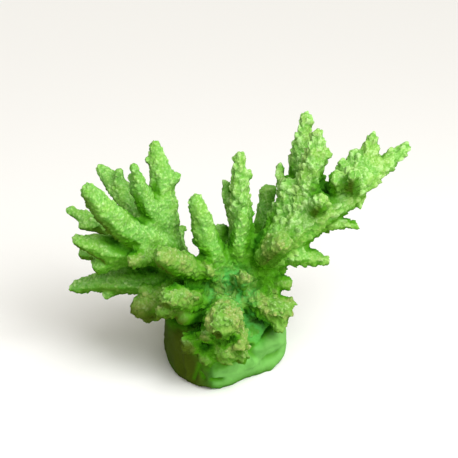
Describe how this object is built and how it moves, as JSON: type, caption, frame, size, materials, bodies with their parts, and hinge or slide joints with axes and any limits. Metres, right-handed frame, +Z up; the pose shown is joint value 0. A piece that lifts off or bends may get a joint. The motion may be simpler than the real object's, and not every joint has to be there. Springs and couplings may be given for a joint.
{
  "type": "finger coral",
  "caption": "Branching finger coral with blunt knobbly fingers fanning out to both sides, standing on a rounded rock plug that is cut flat underneath.",
  "frame": {"origin": "middle of the flat cut under the rock plug", "axes": "+Z up, +X towards the long arm on the viewer's right, -Y towards the front"},
  "size_m": [0.1747, 0.104, 0.13],
  "materials": {
    "coral": "matte",
    "rock": "matte"
  },
  "bodies": {
    "root": {"rock_base": "rock", "trunk": "coral", "left_limb": "coral", "right_arm": "coral", "left_high_finger": "coral", "left_front_finger": "coral", "left_broad_finger": "coral", "left_rear_finger": "coral", "left_far_finger": "coral", "left_low_finger": "coral", "left_facing_stub": "coral", "left_inner_finger": "coral", "left_hanging_stub": "coral", "left_rear_stub": "coral", "front_club_finger": "coral", "front_lower_lobe": "coral", "front_left_stub": "coral", "front_left_button": "coral", "front_thorny_stub": "coral", "front_low_stub": "coral", "centre_left_stub": "coral", "centre_right_stub": "coral", "centre_left_finger": "coral", "centre_tall_finger": "coral", "centre_short_finger": "coral", "centre_rear_finger": "coral", "centre_side_finger": "coral", "right_tall_finger": "coral", "right_thick_finger": "coral", "right_slim_finger": "coral", "right_rear_finger": "coral", "arm_upper_finger": "coral", "arm_top_stub": "coral", "arm_facing_stub": "coral", "arm_front_stub": "coral", "arm_under_stub": "coral", "arm_spur": "coral", "right_low_finger": "coral", "right_facing_stub": "coral", "right_inner_stub": "coral", "right_base_lobe": "coral", "back_low_finger": "coral", "back_left_finger": "coral", "back_right_finger": "coral", "back_limb_finger": "coral", "back_middle_finger": "coral", "back_shoulder_finger": "coral", "back_arm_finger": "coral", "back_side_finger": "coral"}
  },
  "joints": []
}
